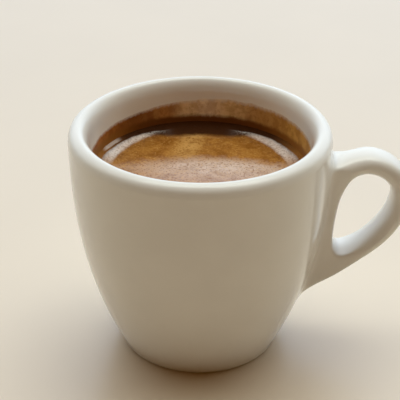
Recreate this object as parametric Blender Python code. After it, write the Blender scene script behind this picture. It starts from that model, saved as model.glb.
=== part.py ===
"""Espresso shot: a thick glazed cup with an ear handle, filled with espresso under a layer of crema.

The cup stands on z = 0 with its axis on z, and its handle points along +x.
"""

import math

import bmesh
import bpy
from mathutils import Vector

MM = 0.001

# Cup body. The outer wall is one curve from the foot to the rim.
HEIGHT = 59.1 * MM
RIM_RADIUS = 32.0 * MM
FOOT_RADIUS = 19.9 * MM
OUTER_CURVE = 2.45
FOOT_ROUNDING = 1.0 * MM
LIP_THICKNESS = 4.8 * MM
LIP_CREST = 2.6 * MM
LIP_OUTER_DROP = 2.7 * MM
LIP_INNER_DROP = 4.6 * MM

# Hollow of the cup, a bowl whose wall grows thicker towards the floor.
HOLLOW_FLOOR = 7.0 * MM
HOLLOW_SHOULDER = 1.87
HOLLOW_ROUNDNESS = 2.6

# Heights of the rings that the walls are modelled with. The handle grows out of ROOT_BOTTOM to ROOT_TOP.
ROOT_BOTTOM = 13.7 * MM
ROOT_TOP = 49.6 * MM
OUTER_RINGS = (2.6 * MM, 5.2 * MM, 8.8 * MM, ROOT_BOTTOM, 21.5 * MM, 31.0 * MM, 41.0 * MM, ROOT_TOP, 55.2 * MM)
INNER_RINGS = (51.0 * MM, 45.5 * MM, 37.0 * MM, 28.0 * MM, 19.5 * MM, 13.0 * MM, 9.2 * MM, 7.3 * MM)
BASE_RINGS = (9.0 * MM, 15.5 * MM, 17.9 * MM)
LIP_STEPS = 6
SIDES = 32
SMOOTHING = 1

# Ear handle, as (x, z). The first five points of the finger hole face the cup, from bottom to top.
HANDLE_WIDTH = 9.4 * MM
HANDLE_CORNER = 1.15 * MM
HANDLE_EDGE = 2.1 * MM
ROOT_HOLLOW = 0.35 * MM
ROOT_REACH = 33.0 * MM
MIDDLE = 5
HOLE = (
    (35.3, 26.0),
    (33.7, 28.6),
    (33.8, 33.8),
    (34.7, 39.5),
    (36.1, 43.9),
    (38.1, 46.5),
    (41.0, 47.4),
    (44.1, 46.4),
    (46.6, 43.8),
    (47.2, 39.9),
    (46.1, 35.8),
    (43.7, 32.1),
    (41.0, 29.0),
    (38.1, 26.6),
)
RIDGE = (
    (35.6, 51.3),
    (40.6, 52.5),
    (45.6, 51.5),
    (49.8, 48.3),
    (52.0, 42.8),
    (51.3, 36.2),
    (47.5, 29.3),
    (40.9, 23.4),
    (33.2, 18.3),
)

# Drink. The crema floats on the espresso, and its surface climbs the wall as a liquid that wets it does.
LEVEL = 45.4 * MM
CREMA_DEPTH = 2.6 * MM
CAPILLARY_LENGTH = 2.7 * MM
MENISCUS_SLOPES = (60, 48, 37, 26, 16, 8, 3)
GAP = 0.3 * MM
DRINK_SIDES = 48


def clear_scene():
    for obj in list(bpy.data.objects):
        bpy.data.objects.remove(obj, do_unlink=True)


def material(name, colour, roughness, coat=0.0):
    made = bpy.data.materials.new(name)
    made.use_nodes = True
    shader = made.node_tree.nodes["Principled BSDF"]
    shader.inputs["Base Color"].default_value = (*colour, 1.0)
    shader.inputs["Roughness"].default_value = roughness
    shader.inputs["Coat Weight"].default_value = coat
    made.diffuse_color = (*colour, 1.0)
    return made


def outer_radius(z):
    return RIM_RADIUS - (RIM_RADIUS - FOOT_RADIUS) * (1.0 - z / HEIGHT) ** OUTER_CURVE


def inner_radius(z):
    depth = (HEIGHT - z) / (HEIGHT - HOLLOW_FLOOR)
    return (RIM_RADIUS - LIP_THICKNESS) * (1.0 - depth**HOLLOW_SHOULDER) ** (1.0 / HOLLOW_ROUNDNESS)


def cup_outline():
    """Points (radius, z) from the middle of the base, up the outer wall, over the lip and down the hollow."""
    points = [(0.0, 0.0)] + [(radius, 0.0) for radius in BASE_RINGS]
    foot = outer_radius(FOOT_ROUNDING)
    for step in range(3):
        angle = math.radians(45 * step)
        inset, rise = FOOT_ROUNDING * (1 - math.sin(angle)), FOOT_ROUNDING * (1 - math.cos(angle))
        points.append((foot - inset, rise))
    points += [(outer_radius(z), z) for z in OUTER_RINGS]
    crest = RIM_RADIUS - LIP_CREST
    inner = crest - inner_radius(HEIGHT - LIP_INNER_DROP)
    for step in range(LIP_STEPS + 1):
        angle = math.pi * step / LIP_STEPS
        width, drop = (LIP_CREST, LIP_OUTER_DROP) if 2 * step < LIP_STEPS else (inner, LIP_INNER_DROP)
        points.append((crest + width * math.cos(angle), HEIGHT - drop + drop * math.sin(angle)))
    points += [(inner_radius(z), z) for z in INNER_RINGS]
    return points + [(0.0, HOLLOW_FLOOR)]


def turned(outline, sides):
    """A closed body turned around z from an outline of (radius, z) whose ends lie on the axis."""
    bm = bmesh.new()
    verts = [bm.verts.new((radius, 0.0, z)) for radius, z in outline]
    edges = [bm.edges.new(pair) for pair in zip(verts, verts[1:])]
    bmesh.ops.spin(
        bm, geom=verts + edges, cent=(0, 0, 0), axis=(0, 0, 1), angle=math.tau, steps=sides, use_merge=True
    )
    bmesh.ops.remove_doubles(bm, verts=bm.verts, dist=0.001 * MM)
    bmesh.ops.recalc_face_normals(bm, faces=bm.faces)
    return bm


def limit_point(vert):
    """Where the smoothed surface passes by this corner of its cage."""
    count = len(vert.link_edges)
    sides = sum((edge.other_vert(vert).co for edge in vert.link_edges), Vector())
    corners = Vector()
    for loop in vert.link_loops:
        corners += loop.link_loop_next.link_loop_next.vert.co
    return (vert.co * count**2 + sides * 4 + corners) / (count * (count + 5))


def pass_through(verts, rounds=12):
    """Moves cage corners until the smoothed surface passes through where they are now."""
    aims = [(vert, vert.co.copy()) for vert in verts]
    for _ in range(rounds):
        moves = [aim - limit_point(vert) for vert, aim in aims]
        for (vert, _), move in zip(aims, moves):
            vert.co += move


def is_quad_corner(vert):
    return all(len(face.verts) == 4 for face in vert.link_faces)


def root_faces(bm):
    """The faces of the outer wall that the handle takes the place of: two columns around +x."""
    half_column = math.pi / SIDES
    found = []
    for face in bm.faces:
        centre = face.calc_center_median()
        on_side = abs(math.atan2(centre.y, centre.x)) < 1.5 * half_column
        if on_side and ROOT_BOTTOM < centre.z < ROOT_TOP and face.normal.x > 0:
            found.append(face)
    return found


def handle_section(hole, ridge):
    """Ten points round the handle where it crosses the plane of its outline, from the middle of the hole's wall."""
    across = (ridge - hole).normalized()
    side = Vector((0, HANDLE_WIDTH / 2, 0))
    corner = Vector((0, HANDLE_WIDTH / 2 - HANDLE_CORNER, 0))
    rounding, edge = across * HANDLE_CORNER / 2, across * HANDLE_EDGE
    front = [hole + rounding - corner, hole + edge - side, ridge - edge - side, ridge - rounding - corner]
    back = [ridge - rounding + corner, ridge - edge + side, hole + edge + side, hole + rounding + corner]
    return [hole, *front, ridge, *back]


def root_section(hole, front, middle, back):
    """The same ten points where the handle runs into the cup, whose wall holds the middle three."""
    section = handle_section(hole, middle)
    hollow = Vector((0, ROOT_HOLLOW, 0))
    section[3] = front.lerp(section[2], 0.5) + hollow
    section[7] = back.lerp(section[8], 0.5) - hollow
    section[MIDDLE - 1 : MIDDLE + 2] = [front, middle, back]
    return section


def wall_point(bm, angle, z):
    """The corner of the cup's outer wall nearest to this direction and height."""
    aim = Vector((outer_radius(z) * math.cos(angle), outer_radius(z) * math.sin(angle), z))
    return min(bm.verts, key=lambda vert: (vert.co - aim).length)


def add_handle(bm):
    """Opens the wall at the handle's root and grows the ear out of it."""
    column = math.tau / SIDES
    roots = [z for z in OUTER_RINGS if ROOT_BOTTOM <= z <= ROOT_TOP]
    wall = [[wall_point(bm, column * step, z) for step in (-1, 0, 1)] for z in roots]
    hidden = [middle for _, middle, _ in wall[1:-1]]
    wall_places = [[vert.co.copy() for vert in row] for row in wall]
    bmesh.ops.delete(bm, geom=root_faces(bm), context="FACES")

    holes = [Vector((x, 0, z)) * MM for x, z in HOLE]
    ridges = [Vector((x, 0, z)) * MM for x, z in RIDGE]
    sections = [root_section(hole, *places) for hole, places in zip(holes, wall_places)]
    sections += [handle_section(hole, ridge) for hole, ridge in zip(holes[len(roots):], ridges)]
    around = len(sections[0])
    grid = bmesh.ops.create_grid(bm, x_segments=around, y_segments=len(sections), size=1)["verts"]
    for index, vert in enumerate(grid):
        station, place = divmod(index, around + 1)
        vert.co = sections[station % len(sections)][place % around]
    in_wall = [grid[station * (around + 1) + MIDDLE] for station in range(1, len(roots) - 1)]
    bmesh.ops.delete(bm, geom=in_wall + [vert for vert in hidden if vert.is_valid], context="VERTS")
    ear = [vert for vert in grid if vert.is_valid]
    rim = [vert for row in wall for vert in row if vert.is_valid]
    bmesh.ops.remove_doubles(bm, verts=ear + rim, dist=0.001 * MM)
    bmesh.ops.recalc_face_normals(bm, faces=bm.faces)
    rim = {vert for vert in rim if vert.is_valid}
    return [vert for vert in ear if vert.is_valid and vert not in rim and vert.co.x > ROOT_REACH]


def smoothed_object(name, bm, finish):
    mesh = bpy.data.meshes.new(name)
    bm.to_mesh(mesh)
    bm.free()
    mesh.shade_smooth()
    mesh.materials.append(finish)
    obj = bpy.data.objects.new(name, mesh)
    bpy.context.scene.collection.objects.link(obj)
    return obj


def make_cup():
    bm = turned(cup_outline(), SIDES)
    pass_through([vert for vert in bm.verts if vert.co.z > 0 and is_quad_corner(vert)])
    ear = add_handle(bm)
    pass_through([vert for vert in ear if len(vert.link_edges) == 4])
    cup = smoothed_object("cup", bm, material("glazed_porcelain", (0.80, 0.79, 0.76), 0.12, 0.5))
    smooth = cup.modifiers.new("smooth", "SUBSURF")
    smooth.levels = smooth.render_levels = SMOOTHING
    return cup


def drink_radius(z):
    return inner_radius(z) - GAP


def make_espresso():
    """The drink from the floor of the hollow up to the crema."""
    bottom, top = HOLLOW_FLOOR + GAP, LEVEL - CREMA_DEPTH - GAP
    heights = [z for z in reversed(INNER_RINGS) if bottom < z < top]
    outline = [(0.0, bottom)] + [(drink_radius(z), z + GAP) for z in heights] + [(drink_radius(top), top), (0.0, top)]
    bm = turned(outline, DRINK_SIDES)
    return smoothed_object("espresso", bm, material("espresso", (0.045, 0.018, 0.008), 0.15))


def meniscus(slope):
    """(distance, rise) where the surface of a liquid that wets a wall has this slope, in degrees."""
    rise = 2 * CAPILLARY_LENGTH * math.sin(math.radians(slope) / 2)
    ratio = rise / CAPILLARY_LENGTH
    return CAPILLARY_LENGTH * (math.acosh(2 / ratio) - math.sqrt(4 - ratio**2)), rise


def make_crema():
    """The foam layer, flat in the middle and drawn up at the wall."""
    bottom = LEVEL - CREMA_DEPTH
    start, top = meniscus(MENISCUS_SLOPES[0])
    edge = drink_radius(LEVEL + top)
    outline = [(0.0, bottom), (drink_radius(bottom), bottom), (drink_radius(LEVEL), LEVEL)]
    for distance, rise in map(meniscus, MENISCUS_SLOPES):
        outline.append((edge - (distance - start), LEVEL + rise))
    bm = turned(outline + [(0.0, LEVEL)], DRINK_SIDES)
    return smoothed_object("crema", bm, material("crema", (0.36, 0.16, 0.05), 0.35))


def main():
    clear_scene()
    make_cup()
    make_espresso()
    make_crema()


main()
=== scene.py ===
"""Looks of an espresso shot in a thick glazed porcelain cup with an ear handle.

The cup stands on z = 0 with its axis on z, and its handle points along +x. Lengths are metres.
"""

import math
import random

import bmesh
import bpy
from mathutils import Color, Matrix, Vector, noise


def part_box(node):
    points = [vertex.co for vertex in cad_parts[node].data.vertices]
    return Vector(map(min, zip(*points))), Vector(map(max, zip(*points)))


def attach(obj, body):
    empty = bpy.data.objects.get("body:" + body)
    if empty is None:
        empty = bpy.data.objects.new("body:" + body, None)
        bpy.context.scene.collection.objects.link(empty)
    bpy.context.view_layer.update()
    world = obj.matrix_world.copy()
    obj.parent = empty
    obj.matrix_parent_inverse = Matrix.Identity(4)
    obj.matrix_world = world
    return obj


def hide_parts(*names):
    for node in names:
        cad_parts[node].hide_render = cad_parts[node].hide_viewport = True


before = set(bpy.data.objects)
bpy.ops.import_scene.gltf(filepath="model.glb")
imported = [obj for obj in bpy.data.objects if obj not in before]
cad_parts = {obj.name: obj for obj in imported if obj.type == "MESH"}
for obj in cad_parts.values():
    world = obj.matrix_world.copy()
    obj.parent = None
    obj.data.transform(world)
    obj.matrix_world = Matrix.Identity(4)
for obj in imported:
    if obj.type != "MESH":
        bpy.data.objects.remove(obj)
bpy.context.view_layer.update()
crema_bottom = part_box("crema")[0].z

bl_info = {
    "name": "Espresso Shot",
    "version": (1, 0, 0),
    "blender": (4, 5, 0),
    "location": "3D View > Sidebar > Espresso",
    "description": "Builds a glazed espresso cup with its coffee, crema and wet wall, on a pale studio floor",
    "category": "Add Mesh",
}

MM = 0.001
BODY = "root"
SAME_PLACE = 0.001 * MM

# Rings of the cup's cage, in millimetres: radii under the base, then heights up the outer wall, where the
# handle takes root between two of them, and down the hollow. The foot and the lip are rounded in steps.
BASE_RINGS = (9.0, 15.5, 17.9)
ROOT_BOTTOM = 13.7
ROOT_TOP = 49.6
OUTER_RINGS = (2.6, 5.2, 8.8, ROOT_BOTTOM, 21.5, 31.0, 41.0, ROOT_TOP, 55.2)
INNER_RINGS = (51.0, 45.5, 37.0, 28.0, 19.5, 13.0, 9.2, 7.3)
FOOT_STEPS = 2
LIP_STEPS = 6
SIDES = 32

# Powers that curve the outer wall in to its foot, and the hollow's wall in to its floor.
OUTER_CURVE = 2.45
HOLLOW_SHOULDER = 1.87
HOLLOW_ROUNDNESS = 2.6

# The ear handle, in millimetres. Its hole and its ridge are outlines of (x, z). The hole's first points climb
# the cup's side and go with the rings that the handle takes root in, and its others go with the ridge's
# points. The faces beside the root are drawn in a little, and past ROOT_REACH the ear is clear of the wall.
# A section round the ear has ten points, and the ridge is number RIDGE_PLACE of them, from 0.
ROOT_HOLLOW = 0.35
ROOT_REACH = 33.0
RIDGE_PLACE = 5
HOLE = (
    (35.3, 26.0),
    (33.7, 28.6),
    (33.8, 33.8),
    (34.7, 39.5),
    (36.1, 43.9),
    (38.1, 46.5),
    (41.0, 47.4),
    (44.1, 46.4),
    (46.6, 43.8),
    (47.2, 39.9),
    (46.1, 35.8),
    (43.7, 32.1),
    (41.0, 29.0),
    (38.1, 26.6),
)
RIDGE = (
    (35.6, 51.3),
    (40.6, 52.5),
    (45.6, 51.5),
    (49.8, 48.3),
    (52.0, 42.8),
    (51.3, 36.2),
    (47.5, 29.3),
    (40.9, 23.4),
    (33.2, 18.3),
)

# The cup stands in a cool band of light from behind and a bright cloud of light from above. Each has colours
# from the front (0) to behind (1), and strengths from level (0) to overhead (1).
BACK_LIGHT = (
    (0.0, (0.0, 0.0, 0.0)),
    (0.46, (0.0, 0.0, 0.0)),
    (0.58, (0.70, 0.70, 0.50)),
    (0.68, (1.20, 1.35, 1.25)),
    (0.78, (1.30, 1.62, 1.90)),
    (1.0, (1.60, 1.98, 2.48)),
)
BACK_LIGHT_RISE = ((0.0, 0.45), (0.16, 0.65), (0.38, 0.85), (0.62, 0.70), (0.74, 0.50), (0.84, 0.0))
TOP_LIGHT = (
    (0.0, (0.10, 0.0, 0.0)),
    (0.30, (0.75, 0.75, 0.65)),
    (0.50, (2.70, 2.85, 2.60)),
    (0.72, (4.95, 5.25, 5.00)),
    (1.0, (4.40, 4.75, 4.50)),
)
TOP_LIGHT_RISE = ((0.0, 0.0), (0.62, 0.0), (0.80, 0.30), (0.95, 1.0), (1.0, 1.0))

# How far below the rim the dried film reaches, in millimetres, by compass angle from the handle.
FILM_TOP = (
    (0, 5.6),
    (14, 5.1),
    (28, 4.8),
    (45, 4.4),
    (66, 4.3),
    (86, 4.4),
    (98, 5.0),
    (110, 5.4),
    (122, 6.0),
    (134, 6.4),
    (146, 6.7),
    (158, 7.1),
    (170, 7.8),
    (190, 8.4),
    (230, 8.0),
    (275, 8.4),
    (320, 7.2),
)

# Colour of the dried film around the far wall, from the left (0) to the handle's side (1).
FILM_TONES = (
    (0.02, (0.40, 0.145, 0.026)),
    (0.18, (0.24, 0.088, 0.020)),
    (0.33, (0.50, 0.25, 0.08)),
    (0.44, (0.84, 0.64, 0.38)),
    (0.54, (0.92, 0.76, 0.54)),
    (0.64, (0.82, 0.60, 0.31)),
    (0.80, (0.52, 0.29, 0.095)),
    (0.97, (0.62, 0.35, 0.085)),
)

# Colours that only part of a finish takes: the white of the painted highlight on the crema's ring, and the
# stains in the dried film. Then the tints of what the foam, its dull brink, the film and the bare glaze
# reflect.
HIGHLIGHT_WHITE = (0.88, 0.82, 0.79)
STAIN = (0.55, 0.40, 0.28)
FOAM_SHINE = (1.0, 0.89, 0.80)
BRINK_SHINE = (0.04, 0.013, 0.003)
FILM_SHINE = (0.45, 0.22, 0.08)
GLAZE_SHINE = (1.0, 1.0, 1.0)

# The crema's mesh has steps down its drawn-up edge, rings over its flat middle, and columns around. Waves of
# (size, height) make it uneven, and they die away towards the edge.
EDGE_STEPS = 26
FLAT_RINGS = 24
CREMA_SIDES = 160
CREMA_WAVES = ((5.5 * MM, 0.10 * MM), (1.7 * MM, 0.03 * MM))
CALM_EDGE = 3 * MM

# The film's mesh has rows up the wall and columns around. It starts just above the drink's flat surface, is
# thickest low down, sinks into the wall at its upper edge, and has its back in the wall. Waves of (size as a
# share of the radius, height) make its upper edge uneven.
FILM_ROWS = 24
FILM_SIDES = 288
FILM_START = 0.6 * MM
FILM_BODY = 0.09 * MM
FILM_SKIN = 0.012 * MM
FILM_SINK = 0.045 * MM
FILM_BACK = 0.15 * MM
FILM_WAVES = ((1 / 9, 0.2 * MM), (1 / 30, 0.05 * MM))

# The foam's beads: how large they are, how much larger one in four is, their height to their width, and how
# many are made in one mesh before it joins the others, because an operator slows down as its mesh grows.
BEAD_RADIUS = (0.06 * MM, 0.11 * MM)
BEAD_GROWTH = (1, 1, 1, 1.6)
BEAD_HEIGHT = 0.6
BEADS_AT_ONCE = 40

# How many features each pattern has to the metre.
GLAZE_CLOUDS = 90
GLAZE_RIPPLES = 210
GLAZE_SHEEN = 260
BISQUE_GRAIN = 5200
FOAM_CLOUDS = 150
FOAM_PATCHES = 420
FOAM_LUMPS = 900
FOAM_SPECKS = 1700
FOAM_CELLS = 1900
FILM_BLOTCHES = 260
FILM_SPECKS = 1300
COFFEE_CLOUDS = 60
FLOOR_CLOUDS = 14

FLOOR_RADIUS = 2.5
FLOOR_SIDES = 96
SENSOR_WIDTH = 36


class CupSettings(bpy.types.PropertyGroup):
    height: bpy.props.FloatProperty(
        name="Height", description="From the floor to the rim", default=59.1 * MM, unit="LENGTH"
    )
    rim_radius: bpy.props.FloatProperty(
        name="Rim radius", description="Outside radius at the rim", default=32.0 * MM, unit="LENGTH"
    )
    foot_radius: bpy.props.FloatProperty(
        name="Foot radius", description="Outside radius at the floor", default=19.9 * MM, unit="LENGTH"
    )
    lip: bpy.props.FloatProperty(
        name="Lip thickness", description="Thickness of the wall at the rim", default=4.8 * MM, unit="LENGTH"
    )
    lip_crest: bpy.props.FloatProperty(
        name="Lip crest", description="How far in from the outside the lip is highest", default=2.6 * MM,
        unit="LENGTH",
    )
    lip_outer_drop: bpy.props.FloatProperty(
        name="Outer rounding", description="How far down the lip's rounding runs outside", default=2.7 * MM,
        unit="LENGTH",
    )
    lip_inner_drop: bpy.props.FloatProperty(
        name="Inner rounding", description="How far down the lip's rounding runs inside", default=4.6 * MM,
        unit="LENGTH",
    )
    hollow_floor: bpy.props.FloatProperty(
        name="Hollow floor", description="Height of the hollow's lowest point", default=7.0 * MM,
        unit="LENGTH",
    )
    foot_rounding: bpy.props.FloatProperty(
        name="Foot rounding", description="Radius of the edge that meets the floor", default=1.0 * MM,
        unit="LENGTH",
    )
    handle_width: bpy.props.FloatProperty(
        name="Handle width", description="Width of the ear handle", default=9.4 * MM, unit="LENGTH"
    )
    handle_corner: bpy.props.FloatProperty(
        name="Handle corner", description="Rounding of the handle's corners", default=1.15 * MM, unit="LENGTH"
    )
    handle_edge: bpy.props.FloatProperty(
        name="Handle edge", description="Depth of the handle's rounded edges", default=2.1 * MM, unit="LENGTH"
    )
    glaze: bpy.props.FloatVectorProperty(
        name="Glaze", description="Colour of the glazed porcelain", default=(0.855, 0.84, 0.805),
        subtype="COLOR", min=0, max=1,
    )
    bisque: bpy.props.FloatVectorProperty(
        name="Bisque", description="Colour of the bare body under the foot", default=(0.70, 0.66, 0.60),
        subtype="COLOR", min=0, max=1,
    )


class DrinkSettings(bpy.types.PropertyGroup):
    level: bpy.props.FloatProperty(
        name="Level", description="Height of the drink's flat surface", default=45.4 * MM, unit="LENGTH"
    )
    capillary: bpy.props.FloatProperty(
        name="Capillary length", description="Sets how far the surface climbs the wall", default=2.7 * MM,
        unit="LENGTH",
    )
    wall_slope: bpy.props.FloatProperty(
        name="Slope at the wall", description="Steepness of the surface where it meets the wall",
        default=math.radians(60), subtype="ANGLE",
    )
    into_wall: bpy.props.FloatProperty(
        name="Reach into the wall", description="How far the drink's edge runs into the wall",
        default=0.12 * MM, unit="LENGTH",
    )
    foam: bpy.props.FloatVectorProperty(
        name="Crema", description="Golden colour of the crema", default=(0.43, 0.190, 0.036), subtype="COLOR",
        min=0, max=1,
    )
    foam_dark: bpy.props.FloatVectorProperty(
        name="Dark crema", description="Colour of the mottling in the crema", default=(0.26, 0.094, 0.011),
        subtype="COLOR", min=0, max=1,
    )
    coffee: bpy.props.FloatVectorProperty(
        name="Coffee", description="Colour of the bare coffee at the wall", default=(0.055, 0.016, 0.002),
        subtype="COLOR", min=0, max=1,
    )
    # The pale front is paler foam with a painted reflection of the bright wall and sky.
    pale_foam_and_reflection: bpy.props.FloatVectorProperty(
        name="Pale crema", description="Colour of the pale foam at the front", default=(0.70, 0.54, 0.45),
        subtype="COLOR", min=0, max=1,
    )
    # The ring's colour is pale foam with a painted highlight, where the drawn-up edge shines.
    ring_foam_and_highlight: bpy.props.FloatVectorProperty(
        name="Foam ring", description="Colour of the pale ring of foam near the wall",
        default=(0.80, 0.69, 0.63), subtype="COLOR", min=0, max=1,
    )
    shore: bpy.props.FloatVectorProperty(
        name="Shore", description="Colour of the drink's brink at both sides", default=(0.30, 0.120, 0.018),
        subtype="COLOR", min=0, max=1,
    )
    streak: bpy.props.FloatVectorProperty(
        name="Pour streak", description="Colour of the light streak that the pour left",
        default=(0.62, 0.34, 0.10), subtype="COLOR", min=0, max=1,
    )
    wet_film: bpy.props.FloatVectorProperty(
        name="Wet film", description="Colour of the wall just above the drink", default=(0.15, 0.050, 0.009),
        subtype="COLOR", min=0, max=1,
    )
    wet_height: bpy.props.FloatProperty(
        name="Wet height", description="How far above the drink's flat surface the wall is wet",
        default=4.1 * MM, unit="LENGTH",
    )
    bubbles: bpy.props.IntProperty(
        name="Bubbles", description="Number of fine foam bubbles", default=2400, min=0
    )
    seed: bpy.props.IntProperty(
        name="Seed", description="Start of the random draw of the bubbles", default=7, min=0
    )


class StageSettings(bpy.types.PropertyGroup):
    floor: bpy.props.FloatVectorProperty(
        name="Floor", description="Colour of the pale floor", default=(0.73, 0.618, 0.482), subtype="COLOR",
        min=0, max=1,
    )
    daylight: bpy.props.FloatProperty(
        name="Daylight", description="Brightness of the soft light behind and over the cup",
        default=0.86, min=0,
    )
    lean: bpy.props.FloatProperty(
        name="Lean", description="How much more light comes from the handle's side",
        default=0.30, min=-1, max=1,
    )
    ambient: bpy.props.FloatVectorProperty(
        name="Ambient light", description="Colour and brightness of the dim light from all around",
        default=(0.096, 0.040, 0.001), subtype="COLOR", min=0, max=1,
    )
    camera_distance: bpy.props.FloatProperty(
        name="Camera distance", description="Level distance from the cup's axis to the camera",
        default=258.06 * MM, unit="LENGTH",
    )
    camera_height: bpy.props.FloatProperty(
        name="Camera height", description="Height of the camera over the floor",
        default=182.46 * MM, unit="LENGTH",
    )
    camera_pitch: bpy.props.FloatProperty(
        name="Camera pitch", description="How far the camera looks down", default=math.radians(29.15),
        subtype="ANGLE",
    )
    camera_roll: bpy.props.FloatProperty(
        name="Camera roll", description="Turn of the camera about its view", default=math.radians(0.372),
        subtype="ANGLE",
    )
    focal_length: bpy.props.FloatProperty(
        name="Focal length", description="Lens in millimetres", default=106.69, min=1
    )


# Node helpers


class Nodes:
    """Short calls that add nodes to a tree and join them."""

    def __init__(self, tree):
        self.tree = tree

    def plug(self, value, socket):
        """Joins an output to the socket, or sets the socket to a number or a colour."""
        if isinstance(value, bpy.types.NodeSocket):
            self.tree.links.new(value, socket)
        else:
            socket.default_value = (*value, 1) if isinstance(value, (tuple, Color)) else value

    def node(self, kind, inputs=None, **settings):
        made = self.tree.nodes.new(kind)
        for key, value in settings.items():
            setattr(made, key, value)
        for key, value in (inputs or {}).items():
            self.plug(value, made.inputs[key])
        return made

    def math(self, operation, *values):
        return self.node("ShaderNodeMath", dict(enumerate(values)), operation=operation).outputs[0]

    def plus(self, first, *others):
        for other in others:
            first = self.math("ADD", first, other)
        return first

    def times(self, first, *others):
        for other in others:
            first = self.math("MULTIPLY", first, other)
        return first

    def xyz(self, place):
        return self.node("ShaderNodeSeparateXYZ", {0: place}).outputs

    def from_axis(self, x, y):
        """Distance of a place from the upright axis."""
        return self.math("SQRT", self.plus(self.times(x, x), self.times(y, y)))

    def ramp(self, value, stops):
        """Runs smoothly through the stops, each a position and a colour or a number."""
        made = self.node("ShaderNodeValToRGB", {"Fac": value})
        made.color_ramp.interpolation = "EASE"
        points = made.color_ramp.elements
        while len(points) < len(stops):
            points.new(0.5)
        for point, (position, colour) in zip(points, stops):
            point.position = position
            point.color = (*colour, 1) if isinstance(colour, tuple) else (colour, colour, colour, 1)
        return made.outputs["Color"]


class Finish(Nodes):
    """A material and its Principled shader."""

    def __init__(self, name):
        self.material = bpy.data.materials.new(name)
        self.material.use_nodes = True
        super().__init__(self.material.node_tree)
        self.shader = self.tree.nodes["Principled BSDF"]
        self.place = self.tree.nodes.new("ShaderNodeTexCoord").outputs["Object"]

    def noise(self, scale, detail=2.0, roughness=0.5, distortion=0.0):
        """Noise whose features are this many to the metre."""
        inputs = {"Scale": scale, "Detail": detail, "Roughness": roughness, "Distortion": distortion}
        return self.node("ShaderNodeTexNoise", {"Vector": self.place, **inputs}).outputs["Fac"]

    def cells(self, scale):
        """Distance from the middle of the nearest cell, with this many cells to the metre."""
        return self.node("ShaderNodeTexVoronoi", {"Vector": self.place, "Scale": scale}).outputs["Distance"]

    def span(self, value, low, high, to_low=0.0, to_high=1.0):
        """Runs smoothly from one value to the other as the first goes from low to high."""
        inputs = {"Value": value, "From Min": low, "From Max": high, "To Min": to_low, "To Max": to_high}
        return self.node("ShaderNodeMapRange", inputs, interpolation_type="SMOOTHSTEP").outputs["Result"]

    def mix(self, factor, first, second):
        made = self.node("ShaderNodeMix", data_type="RGBA")
        self.plug(factor, made.inputs[0])
        self.plug(first, made.inputs[6])
        self.plug(second, made.inputs[7])
        return made.outputs[2]

    def shaded(self, colour, share, pattern, low=0.3, high=0.7):
        """The colour, darkened to this share of it as the pattern goes from low to high."""
        darker = tuple(channel * share for channel in colour)
        return self.mix(self.span(pattern, low, high), colour, darker)

    def bump(self, height, depth, normal=None):
        """Relief of this depth in metres where the height runs from 0 to 1."""
        inputs = {"Height": height, "Strength": 1.0, "Distance": depth}
        if normal is not None:
            inputs["Normal"] = normal
        return self.node("ShaderNodeBump", inputs).outputs["Normal"]

    def set(self, **values):
        for key, value in values.items():
            self.plug(value, self.shader.inputs[key.replace("_", " ")])
        return self.material


# Shapes


def outer_radius(cup, z):
    return cup.rim_radius - (cup.rim_radius - cup.foot_radius) * (1.0 - z / cup.height) ** OUTER_CURVE


def inner_radius(cup, z):
    depth = (cup.height - z) / (cup.height - cup.hollow_floor)
    return (cup.rim_radius - cup.lip) * (1.0 - depth**HOLLOW_SHOULDER) ** (1.0 / HOLLOW_ROUNDNESS)


def wall_radius(cup, z):
    """Inside radius at this height, followed up into the lip's rounding."""
    foot = cup.height - cup.lip_inner_drop
    rise = (z - foot) / cup.lip_inner_drop
    if rise <= 0:
        return inner_radius(cup, z)
    crest = cup.rim_radius - cup.lip_crest
    return crest - (crest - inner_radius(cup, foot)) * math.sqrt(1 - rise**2)


def cup_outline(cup):
    """Points (radius, z) from the middle of the base, up the outer wall, over the lip and down the hollow."""
    points = [(0.0, 0.0)] + [(radius * MM, 0.0) for radius in BASE_RINGS]
    foot = outer_radius(cup, cup.foot_rounding)
    for step in range(FOOT_STEPS + 1):
        angle = math.pi / 2 * step / FOOT_STEPS
        inset, rise = 1 - math.sin(angle), 1 - math.cos(angle)
        points.append((foot - cup.foot_rounding * inset, cup.foot_rounding * rise))
    points += [(outer_radius(cup, z * MM), z * MM) for z in OUTER_RINGS]
    crest = cup.rim_radius - cup.lip_crest
    inner = crest - inner_radius(cup, cup.height - cup.lip_inner_drop)
    for step in range(LIP_STEPS + 1):
        angle = math.pi * step / LIP_STEPS
        outside = 2 * step < LIP_STEPS
        width, drop = (cup.lip_crest, cup.lip_outer_drop) if outside else (inner, cup.lip_inner_drop)
        points.append((crest + width * math.cos(angle), cup.height - drop + drop * math.sin(angle)))
    points += [(inner_radius(cup, z * MM), z * MM) for z in INNER_RINGS]
    return points + [(0.0, cup.hollow_floor)]


def turned(outline, sides, closed=False):
    """A closed body turned around z from (radius, z) points: a line with its ends on the axis, or a loop."""
    bm = bmesh.new()
    verts = [bm.verts.new((radius, 0.0, z)) for radius, z in outline]
    ends = verts[1:] + verts[:1] if closed else verts[1:]
    edges = [bm.edges.new(pair) for pair in zip(verts, ends)]
    bmesh.ops.spin(
        bm, geom=verts + edges, cent=(0, 0, 0), axis=(0, 0, 1), angle=math.tau, steps=sides, use_merge=True
    )
    bmesh.ops.remove_doubles(bm, verts=bm.verts, dist=SAME_PLACE)
    bmesh.ops.recalc_face_normals(bm, faces=bm.faces)
    return bm


def limit_point(vert):
    """Where the smoothed surface passes by this corner of its cage."""
    count = len(vert.link_edges)
    sides = sum((edge.other_vert(vert).co for edge in vert.link_edges), Vector())
    corners = Vector()
    for loop in vert.link_loops:
        corners += loop.link_loop_next.link_loop_next.vert.co
    return (vert.co * count**2 + sides * 4 + corners) / (count * (count + 5))


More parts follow.
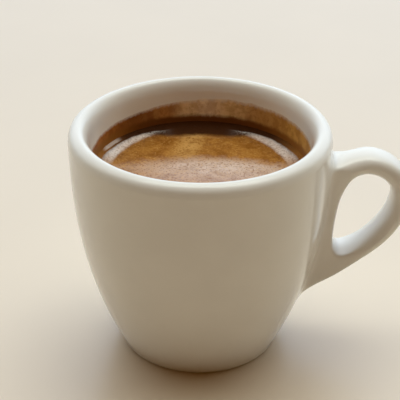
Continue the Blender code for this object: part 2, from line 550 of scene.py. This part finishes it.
def pass_through(verts, rounds=12):
    """Moves cage corners until the smoothed surface passes through where they are now."""
    aims = [(vert, vert.co.copy()) for vert in verts]
    for _ in range(rounds):
        moves = [aim - limit_point(vert) for vert, aim in aims]
        for (vert, _), move in zip(aims, moves):
            vert.co += move


def is_quad_corner(vert):
    return all(len(face.verts) == 4 for face in vert.link_faces)


def root_faces(bm):
    """The faces of the outer wall that the handle takes the place of: two columns around +x."""
    half_column = math.pi / SIDES
    found = []
    for face in bm.faces:
        centre = face.calc_center_median()
        on_side = abs(math.atan2(centre.y, centre.x)) < 1.5 * half_column
        if on_side and ROOT_BOTTOM * MM < centre.z < ROOT_TOP * MM and face.normal.x > 0:
            found.append(face)
    return found


def handle_section(cup, hole, ridge):
    """Ten points round the handle where it crosses the plane of its outline, the first on the hole's wall."""
    across = (ridge - hole).normalized()
    side = Vector((0, cup.handle_width / 2, 0))
    corner = Vector((0, cup.handle_width / 2 - cup.handle_corner, 0))
    rounding, edge = across * cup.handle_corner / 2, across * cup.handle_edge
    front = [hole + rounding - corner, hole + edge - side, ridge - edge - side, ridge - rounding - corner]
    back = [ridge - rounding + corner, ridge - edge + side, hole + edge + side, hole + rounding + corner]
    return [hole, *front, ridge, *back]


def root_section(cup, hole, front, middle, back):
    """The same ten points where the handle runs into the cup, whose wall holds the middle three."""
    section = handle_section(cup, hole, middle)
    hollow = Vector((0, ROOT_HOLLOW * MM, 0))
    section[3] = front.lerp(section[2], 0.5) + hollow
    section[7] = back.lerp(section[8], 0.5) - hollow
    section[RIDGE_PLACE - 1 : RIDGE_PLACE + 2] = [front, middle, back]
    return section


def wall_point(cup, bm, angle, z):
    """The corner of the cup's outer wall nearest to this direction and height."""
    radius = outer_radius(cup, z)
    aim = Vector((radius * math.cos(angle), radius * math.sin(angle), z))
    return min(bm.verts, key=lambda vert: (vert.co - aim).length)


def add_handle(cup, bm):
    """Opens the wall at the handle's root and grows the ear out of it."""
    column = math.tau / SIDES
    roots = [z * MM for z in OUTER_RINGS if ROOT_BOTTOM <= z <= ROOT_TOP]
    wall = [[wall_point(cup, bm, column * step, z) for step in (-1, 0, 1)] for z in roots]
    hidden = [middle for _, middle, _ in wall[1:-1]]
    wall_places = [[vert.co.copy() for vert in row] for row in wall]
    bmesh.ops.delete(bm, geom=root_faces(bm), context="FACES")

    holes = [Vector((x, 0, z)) * MM for x, z in HOLE]
    ridges = [Vector((x, 0, z)) * MM for x, z in RIDGE]
    sections = [root_section(cup, hole, *places) for hole, places in zip(holes, wall_places)]
    sections += [handle_section(cup, hole, ridge) for hole, ridge in zip(holes[len(roots):], ridges)]
    around = len(sections[0])
    grid = bmesh.ops.create_grid(bm, x_segments=around, y_segments=len(sections), size=1)["verts"]
    for index, vert in enumerate(grid):
        station, place = divmod(index, around + 1)
        vert.co = sections[station % len(sections)][place % around]
    in_wall = [grid[station * (around + 1) + RIDGE_PLACE] for station in range(1, len(roots) - 1)]
    bmesh.ops.delete(bm, geom=in_wall + [vert for vert in hidden if vert.is_valid], context="VERTS")
    ear = [vert for vert in grid if vert.is_valid]
    rim = [vert for row in wall for vert in row if vert.is_valid]
    bmesh.ops.remove_doubles(bm, verts=ear + rim, dist=SAME_PLACE)
    bmesh.ops.recalc_face_normals(bm, faces=bm.faces)
    rim = {vert for vert in rim if vert.is_valid}
    return [vert for vert in ear if vert.is_valid and vert not in rim and vert.co.x > ROOT_REACH * MM]


def piece(name, bm, finish, smooth_levels=0):
    """Makes the mesh a smooth shaded object that rides with the cup."""
    mesh = bpy.data.meshes.new(name)
    bm.to_mesh(mesh)
    bm.free()
    mesh.shade_smooth()
    mesh.materials.append(finish)
    obj = bpy.data.objects.new(name, mesh)
    bpy.context.scene.collection.objects.link(obj)
    if smooth_levels:
        smooth = obj.modifiers.new("smooth", "SUBSURF")
        smooth.levels = smooth.render_levels = smooth_levels
    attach(obj, BODY)
    return obj


def meniscus(capillary, slope):
    """(distance, rise) where the surface of a liquid that wets a wall has this slope."""
    ratio = 2 * math.sin(slope / 2)
    return capillary * (math.acosh(2 / ratio) - math.sqrt(4 - ratio**2)), capillary * ratio


def unevenness(place, waves):
    """Sum of smooth random waves at this place, each with its size and its height."""
    return sum(noise.noise(place / size) * height for size, height in waves)


def film_top(cup, angle):
    """Height of the film's upper edge in this direction, in radians from the handle."""
    degrees = math.degrees(angle) % 360
    stops = (*FILM_TOP, (360, FILM_TOP[0][1]))
    (start, first), (end, second) = next(pair for pair in zip(stops, stops[1:]) if degrees <= pair[1][0])
    share = (degrees - start) / (end - start)
    share = share * share * (3 - 2 * share)
    return cup.height - (first + (second - first) * share) * MM


def film_thickness(share):
    """How far the film stands off the wall at this share of its height; below 0, how far it has sunk in."""
    return FILM_BODY * (1 - share**2) + FILM_SKIN - FILM_SINK * share**12


def beads(places):
    """Small round beads, one for each place matrix."""
    bm = bmesh.new()
    for first in range(0, len(places), BEADS_AT_ONCE):
        some = bmesh.new()
        for place in places[first : first + BEADS_AT_ONCE]:
            bmesh.ops.create_icosphere(some, subdivisions=1, radius=1, matrix=place)
        mesh = bpy.data.meshes.new("beads")
        some.to_mesh(mesh)
        some.free()
        bm.from_mesh(mesh)
        bpy.data.meshes.remove(mesh)
    return bm


# Finishes


def glaze_finish(cup):
    """Clear gloss glaze over white porcelain, bare under the foot."""
    finish = Finish("glazed_porcelain")
    _, _, z = finish.xyz(finish.place)
    bare = finish.span(z, 0.05 * MM, 0.30 * MM, 1.0, 0.0)
    grain = finish.noise(BISQUE_GRAIN, 3)
    glaze = finish.shaded(cup.glaze, 0.975, finish.noise(GLAZE_CLOUDS, 2))
    bisque = finish.shaded(cup.bisque, 0.86, grain, 0.35)
    sheen = finish.span(finish.noise(GLAZE_SHEEN, 2), 0.3, 0.7, 0.085, 0.125)
    ripple = finish.bump(finish.noise(GLAZE_RIPPLES, 1), 0.02 * MM)
    return finish.set(
        Base_Color=finish.mix(bare, glaze, bisque),
        Roughness=finish.math("MULTIPLY_ADD", bare, 0.6, sheen),
        IOR=1.5,
        Normal=finish.bump(finish.times(grain, bare), 0.03 * MM, ripple),
    )


class CremaFinish(Finish):
    """Fine golden foam, pale at the front with painted reflection and with a ring of painted highlight, that
    thins to bare dark coffee at the wall.
    """

    def __init__(self, drink, cup):
        super().__init__("crema_foam")
        self.drink = drink
        self.edge = inner_radius(cup, drink.level + meniscus(drink.capillary, drink.wall_slope)[1])
        self.x, self.y, _ = self.xyz(self.place)
        self.radius = self.from_axis(self.x, self.y)
        cloud = self.noise(FOAM_CLOUDS, 4, 0.6, distortion=0.6)
        patch = self.noise(FOAM_PATCHES, 3, 0.6)
        self.speck = self.noise(FOAM_SPECKS, 3, 0.6)
        self.mottle = self.times(self.plus(cloud, patch), 0.5)
        self.wander = self.times(self.math("SUBTRACT", patch, 0.5), 5 * MM)
        clear = self.math("MAXIMUM", self.radius, MM)
        self.far = self.math("DIVIDE", self.y, clear)
        self.aside = self.math("DIVIDE", self.math("ABSOLUTE", self.x), clear)
        self.left = self.math("LESS_THAN", self.x, 0.0)

    def near_wall(self, radius, start, end):
        """Runs from 0 to 1 as the radius goes from start to end, both in millimetres in from the wall."""
        return self.span(radius, self.edge - start * MM, self.edge - end * MM)

    def mottled(self, patch, low, high):
        """The patch at its low share where the mottling is dark, and its high one where it is golden."""
        return self.times(patch, self.span(self.mottle, 0.36, 0.56, low, high))

    def with_streak(self, foam):
        """The foam with the light streak that the pour left, on the far side and a little aslant."""
        aside = self.math("MULTIPLY_ADD", self.y, -0.25, self.plus(self.x, 7.0 * MM))
        streak = self.span(self.math("ABSOLUTE", aside), 0.5 * MM, 5.0 * MM, 1.0, 0.0)
        streak = self.times(streak, self.span(self.y, 7 * MM, 14 * MM))
        return self.mix(self.mottled(streak, 0.35, 0.95), foam, self.drink.streak)

    def with_pale_front(self, foam):
        """The foam with its pale front, paler foam with painted reflection, whose far border bows towards the
        front at both sides.
        """
        bow = self.plus(self.times(self.x, self.x, 11.0), self.wander)
        # Painted reflection: the pale front, partly paler foam, stands in for the sheen of the bright wall and
        # sky.
        front = self.span(self.plus(self.y, bow), 6.5 * MM, 12.0 * MM, 1.0, 0.0)
        near = self.span(self.y, -6 * MM, 6 * MM, 0.10, 1.0)
        side = self.span(self.x, -18 * MM, 8 * MM, 0.45, 1.0)
        return self.mix(self.mottled(self.times(front, near, side), 0.6, 1.0), foam, self.drink.pale_foam_and_reflection)

    def with_specks(self, foam):
        """The foam with fine dark and light specks."""
        foam = self.mix(self.span(self.speck, 0.52, 0.66, 0.0, 0.75), foam, self.drink.foam_dark)
        return self.mix(self.span(self.speck, 0.32, 0.46, 0.5, 0.0), foam, self.drink.streak)

    def with_highlight_ring(self, foam):
        """The foam with its ring of painted highlight on pale foam along the far wall, wider towards the sides
        and whitest on the left.
        """
        widening = self.span(self.x, -5 * MM, 5 * MM, 3.0 * MM, 3.4 * MM)
        inner = self.math("MULTIPLY_ADD", self.wander, 0.15, self.radius)
        inner = self.math("MULTIPLY_ADD", self.aside, widening, inner)
        reach = self.span(self.far, 0.1, 0.5)
        broken = self.span(self.speck, 0.46, 0.66, 1.0, 0.55)
        # Painted highlight, whitest on the left part of the ring.
        white = self.times(self.left, self.span(self.far, 0.40, 0.60, 1.0, 0.0))
        tone = self.mix(white, self.drink.ring_foam_and_highlight, HIGHLIGHT_WHITE)
        return self.mix(self.times(self.near_wall(inner, 1.3, 0.1), reach, broken), foam, tone)

    def shore(self, outer):
        """Colour of the brink: brown at both sides, dark behind, and with a painted glint on the left."""
        shore = self.mix(self.span(self.far, 0.3, 0.75), self.drink.shore, self.drink.coffee)
        # Painted glint: a patch of the ring's highlight colour on the left part of the brink.
        beside = self.times(self.span(self.far, 0.34, 0.44), self.span(self.far, 0.56, 0.64, 1.0, 0.0))
        glint = self.times(beside, self.left, self.near_wall(outer, 0.9, 0.6), 0.75)
        return self.mix(glint, shore, self.drink.ring_foam_and_highlight)

    def complete(self):
        """Plugs the whole finish into the shader."""
        foam = self.mix(self.span(self.mottle, 0.36, 0.62), self.drink.foam_dark, self.drink.foam)
        for change in (self.with_streak, self.with_pale_front, self.with_specks, self.with_highlight_ring):
            foam = change(foam)
        lift = self.span(self.far, 0.8, 0.96, 0.0, 0.5 * MM)
        outer = self.plus(self.math("MULTIPLY_ADD", self.wander, 0.08, self.radius), lift)
        brink = self.near_wall(outer, 1.4, 1.0)
        creep = self.span(self.far, 0.78, 0.99, 0.0, 3.4 * MM)
        ragged = self.plus(self.radius, creep, self.times(self.wander, 0.3))
        colour = self.mix(self.near_wall(ragged, 2.2, 0.2), foam, self.drink.coffee)
        behind = self.times(self.span(self.far, 0.89, 0.97), self.near_wall(ragged, 3, 1))
        dull = self.math("MAXIMUM", behind, brink)
        relief = self.bump(self.noise(FOAM_LUMPS, 3), 0.035 * MM)
        return self.set(
            Base_Color=self.mix(brink, colour, self.shore(outer)),
            Specular_Tint=self.mix(dull, FOAM_SHINE, BRINK_SHINE),
            Roughness=self.math("MULTIPLY_ADD", dull, 0.4, self.span(self.speck, 0.3, 0.7, 0.13, 0.20)),
            IOR=1.65,
            Normal=self.bump(self.span(self.cells(FOAM_CELLS), 0.0, 0.5), 0.012 * MM, relief),
        )


def film_finish(drink, cup):
    """Coffee left on the wall: dark and wet low down, dry and mottled above, fading out at its upper edge."""
    finish = Finish("coffee_film")
    x, _, z = finish.xyz(finish.place)
    fade = finish.node("ShaderNodeAttribute", attribute_name="fade").outputs["Fac"]
    blotch = finish.noise(FILM_BLOTCHES, 4, 0.65)
    speck = finish.noise(FILM_SPECKS, 3, 0.6)
    aside = finish.math("MULTIPLY_ADD", x, 0.5 / inner_radius(cup, drink.level), 0.5)
    dried = finish.ramp(aside, FILM_TONES)
    inputs = {0: 1.0, 6: dried, 7: STAIN}
    stained = finish.node("ShaderNodeMix", inputs, data_type="RGBA", blend_type="MULTIPLY").outputs[2]
    dried = finish.mix(finish.span(blotch, 0.40, 0.58, 0.55, 0.0), dried, stained)
    dried = finish.mix(finish.span(speck, 0.52, 0.72, 0.0, 0.45), dried, stained)

    wet_top, blend = drink.level + drink.wet_height, 0.7 * MM
    wavy = finish.plus(z, finish.times(finish.math("SUBTRACT", blotch, 0.5), 1.6 * MM))
    wet = finish.span(wavy, wet_top - blend, wet_top + blend, 1.0, 0.0)
    sideways = finish.math("ABSOLUTE", finish.math("SUBTRACT", aside, 0.5))
    soaked = finish.mix(finish.span(sideways, 0.28, 0.48), drink.wet_film, drink.shore)
    ragged = finish.plus(fade, finish.times(finish.math("SUBTRACT", speck, 0.5), 0.16))
    bare = finish.span(ragged, 0.78, 1.0)
    return finish.set(
        Base_Color=finish.mix(bare, finish.mix(wet, dried, soaked), cup.glaze),
        Specular_Tint=finish.mix(bare, FILM_SHINE, GLAZE_SHINE),
        Roughness=finish.span(bare, 0.0, 1.0, 0.35, 0.1),
        IOR=1.45,
        Normal=finish.bump(speck, 0.03 * MM),
    )


def coffee_finish(drink):
    """Espresso under the crema: nearly black, with a red-brown glow."""
    finish = Finish("espresso_liquid")
    tint = finish.shaded(drink.coffee, 0.7, finish.noise(COFFEE_CLOUDS, 2))
    return finish.set(Base_Color=tint, Roughness=0.08, IOR=1.34)


# Operators


class ESPRESSO_OT_cup(bpy.types.Operator):
    """Build the glazed porcelain cup with its ear handle"""

    bl_idname = "espresso.cup"
    bl_label = "Porcelain Cup"
    bl_options = {"REGISTER", "UNDO"}

    def execute(self, context):
        cup = context.scene.espresso_cup
        bm = turned(cup_outline(cup), SIDES)
        pass_through([vert for vert in bm.verts if vert.co.z > 0 and is_quad_corner(vert)])
        ear = add_handle(cup, bm)
        pass_through([vert for vert in ear if len(vert.link_edges) == 4])
        obj = piece("porcelain_cup", bm, glaze_finish(cup), smooth_levels=3)
        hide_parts("cup")
        return {"FINISHED"}


class ESPRESSO_OT_crema(bpy.types.Operator):
    """Build the crema, flat in the middle and drawn up at the wall"""

    bl_idname = "espresso.crema"
    bl_label = "Crema"
    bl_options = {"REGISTER", "UNDO"}

    def execute(self, context):
        cup, drink = context.scene.espresso_cup, context.scene.espresso_drink
        start, top = meniscus(drink.capillary, drink.wall_slope)
        edge = inner_radius(cup, drink.level + top) + drink.into_wall
        outline = [(0.0, crema_bottom)]
        outline += [(inner_radius(cup, z) + drink.into_wall, z) for z in (crema_bottom, drink.level)]
        # The drawn-up edge, from the wall in to where it is all but level.
        for step in range(EDGE_STEPS):
            distance, rise = meniscus(drink.capillary, drink.wall_slope * (1 - step / EDGE_STEPS) ** 1.5)
            if distance - start < 0.6 * edge:
                outline.append((edge - (distance - start), drink.level + rise))
        inner = outline[-1][0]
        outline += [(inner * (1 - step / FLAT_RINGS), drink.level) for step in range(1, FLAT_RINGS + 1)]
        bm = turned(outline, CREMA_SIDES)
        for vert in bm.verts:
            if vert.co.z > drink.level - 10 * SAME_PLACE:
                calm = min(1, vert.co.xy.length / (edge - CALM_EDGE)) ** 4
                vert.co.z += unevenness(vert.co, CREMA_WAVES) * (1 - calm)
        obj = piece("crema_surface", bm, CremaFinish(drink, cup).complete())
        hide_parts("crema")
        return {"FINISHED"}


class ESPRESSO_OT_film(bpy.types.Operator):
    """Build the film of coffee that the drink left on the wall"""

    bl_idname = "espresso.film"
    bl_label = "Wall Film"
    bl_options = {"REGISTER", "UNDO"}

    def execute(self, context):
        cup, drink = context.scene.espresso_cup, context.scene.espresso_drink
        front, back = 1.0, 2.0
        shares = [row / FILM_ROWS for row in range(FILM_ROWS + 1)]
        outline = [(front, share) for share in shares] + [(back, share) for share in reversed(shares)]
        bm = turned(outline, FILM_SIDES, closed=True)
        fade = bm.verts.layers.float.new("fade")
        foot = drink.level + FILM_START
        for vert in bm.verts:
            share, angle = vert.co.z, math.atan2(vert.co.y, vert.co.x)
            ahead = Vector((math.cos(angle), math.sin(angle), 0))
            top = film_top(cup, angle) + unevenness(ahead, FILM_WAVES)
            z = foot + (top - foot) * share
            on_front = vert.co.xy.length < (front + back) / 2
            radius = wall_radius(cup, z) + (-film_thickness(share) if on_front else FILM_BACK)
            vert.co = ahead * radius + Vector((0, 0, z))
            vert[fade] = share
        bmesh.ops.recalc_face_normals(bm, faces=bm.faces)
        piece("wall_film", bm, film_finish(drink, cup))
        return {"FINISHED"}


class ESPRESSO_OT_bubbles(bpy.types.Operator):
    """Scatter fine foam bubbles over the outer part of the crema"""

    bl_idname = "espresso.bubbles"
    bl_label = "Bubbles"
    bl_options = {"REGISTER", "UNDO"}

    def execute(self, context):
        cup, drink = context.scene.espresso_cup, context.scene.espresso_drink
        draw = random.Random(drink.seed)
        start, top = meniscus(drink.capillary, drink.wall_slope)
        edge = inner_radius(cup, drink.level + top)
        places = []
        for _ in range(drink.bubbles):
            # A bead lies where the surface has this slope, so most of them are in from the wall.
            slope = drink.wall_slope * 0.9 * draw.random() ** 2 + math.radians(1)
            distance, rise = meniscus(drink.capillary, slope)
            # One draw is passed over, which keeps every bead in its place.
            draw.random()
            angle = draw.uniform(0, math.tau)
            across = draw.uniform(*BEAD_RADIUS) * draw.choice(BEAD_GROWTH)
            radius = edge - (distance - start)
            middle = Vector((radius * math.cos(angle), radius * math.sin(angle), drink.level + rise))
            size = Matrix.Diagonal((across, across, across * BEAD_HEIGHT, 1))
            places.append(Matrix.Translation(middle) @ size)
        piece("edge_bubbles", beads(places), bpy.data.objects["crema_surface"].active_material)
        return {"FINISHED"}


class ESPRESSO_OT_espresso(bpy.types.Operator):
    """Give the espresso under the crema its finish"""

    bl_idname = "espresso.espresso"
    bl_label = "Espresso"
    bl_options = {"REGISTER", "UNDO"}

    def execute(self, context):
        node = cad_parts["espresso"]
        node.data.materials.clear()
        node.data.materials.append(coffee_finish(context.scene.espresso_drink))
        return {"FINISHED"}


class ESPRESSO_OT_stage(bpy.types.Operator):
    """Lay the pale floor, and set the soft light and the camera"""

    bl_idname = "espresso.stage"
    bl_label = "Stage"
    bl_options = {"REGISTER", "UNDO"}

    def execute(self, context):
        stage = context.scene.espresso_stage
        self.lay_floor(stage)
        self.set_light(context, stage)
        self.set_camera(context, stage)
        return {"FINISHED"}

    def lay_floor(self, stage):
        bm = bmesh.new()
        bmesh.ops.create_circle(bm, cap_ends=True, segments=FLOOR_SIDES, radius=FLOOR_RADIUS)
        mesh = bpy.data.meshes.new("floor")
        bm.to_mesh(mesh)
        bm.free()
        finish = Finish("pale_floor")
        tone = finish.shaded(stage.floor, 0.97, finish.noise(FLOOR_CLOUDS, 3))
        mesh.materials.append(finish.set(Base_Color=tone, Roughness=0.3, IOR=1.75))
        floor = bpy.data.objects.new("floor", mesh)
        bpy.context.scene.collection.objects.link(floor)

    def set_light(self, context, stage):
        """Soft daylight behind and over the cup, more of it towards the handle, with dim warm light around."""
        world = bpy.data.worlds.new("soft_daylight")
        world.use_nodes = True
        context.scene.world = world
        world.node_tree.nodes.clear()
        sky = Nodes(world.node_tree)

        def light(colour, strength):
            return sky.node("ShaderNodeBackground", {"Color": colour, "Strength": strength}).outputs[0]

        def both(first, second):
            return sky.node("ShaderNodeAddShader", {0: first, 1: second}).outputs[0]

        x, y, z = sky.xyz(sky.node("ShaderNodeTexCoord").outputs["Generated"])
        behind = sky.math("DIVIDE", y, sky.math("MAXIMUM", sky.from_axis(x, y), 0.001))
        behind = sky.math("MULTIPLY_ADD", behind, 0.5, 0.5)
        lean = sky.times(sky.math("MULTIPLY_ADD", x, stage.lean, 1.0), stage.daylight)
        back = light(sky.ramp(behind, BACK_LIGHT), sky.times(sky.ramp(z, BACK_LIGHT_RISE), lean))
        top = light(sky.ramp(behind, TOP_LIGHT), sky.times(sky.ramp(z, TOP_LIGHT_RISE), lean))
        ambient = light(stage.ambient, 1.0)
        sky.node("ShaderNodeOutputWorld", {"Surface": both(both(back, top), ambient)})

    def set_camera(self, context, stage):
        context.scene.view_settings.view_transform = "Standard"
        camera = bpy.data.cameras.new("camera")
        camera.sensor_width = SENSOR_WIDTH
        camera.lens = stage.focal_length
        obj = bpy.data.objects.new("camera", camera)
        context.scene.collection.objects.link(obj)
        place = Matrix.Translation((0, -stage.camera_distance, stage.camera_height))
        pitch = Matrix.Rotation(math.pi / 2 - stage.camera_pitch, 4, "X")
        obj.matrix_world = place @ pitch @ Matrix.Rotation(stage.camera_roll, 4, "Z")
        context.scene.camera = obj


class ESPRESSO_PT_panel(bpy.types.Panel):
    """Sidebar panel with the sizes, the colours and the building steps"""

    bl_idname = "ESPRESSO_PT_panel"
    bl_label = "Espresso Shot"
    bl_space_type = "VIEW_3D"
    bl_region_type = "UI"
    bl_category = "Espresso"

    def draw(self, context):
        scene = context.scene
        for title, settings in (
            ("Cup", scene.espresso_cup), ("Drink", scene.espresso_drink), ("Stage", scene.espresso_stage)
        ):
            box = self.layout.box()
            box.label(text=title)
            for key in settings.__annotations__:
                box.prop(settings, key)
        for operator in OPERATORS:
            self.layout.operator(operator.bl_idname)


OPERATORS = (
    ESPRESSO_OT_cup,
    ESPRESSO_OT_crema,
    ESPRESSO_OT_film,
    ESPRESSO_OT_bubbles,
    ESPRESSO_OT_espresso,
    ESPRESSO_OT_stage,
)
SETTINGS = {"espresso_cup": CupSettings, "espresso_drink": DrinkSettings, "espresso_stage": StageSettings}


def register():
    for kind in (*SETTINGS.values(), *OPERATORS, ESPRESSO_PT_panel):
        bpy.utils.register_class(kind)
    for name, kind in SETTINGS.items():
        setattr(bpy.types.Scene, name, bpy.props.PointerProperty(type=kind))


def unregister():
    for name in SETTINGS:
        delattr(bpy.types.Scene, name)
    for kind in (ESPRESSO_PT_panel, *reversed(OPERATORS), *reversed(SETTINGS.values())):
        bpy.utils.unregister_class(kind)


def clear_startup():
    """Removes the startup scene's own objects."""
    for name in ("Cube", "Light", "Camera"):
        if name in bpy.data.objects:
            bpy.data.objects.remove(bpy.data.objects[name], do_unlink=True)


def main():
    register()
    clear_startup()
    bpy.ops.espresso.cup()
    bpy.ops.espresso.crema()
    bpy.ops.espresso.film()
    bpy.ops.espresso.bubbles()
    bpy.ops.espresso.espresso()
    bpy.ops.espresso.stage()


if __name__ == "__main__":
    main()
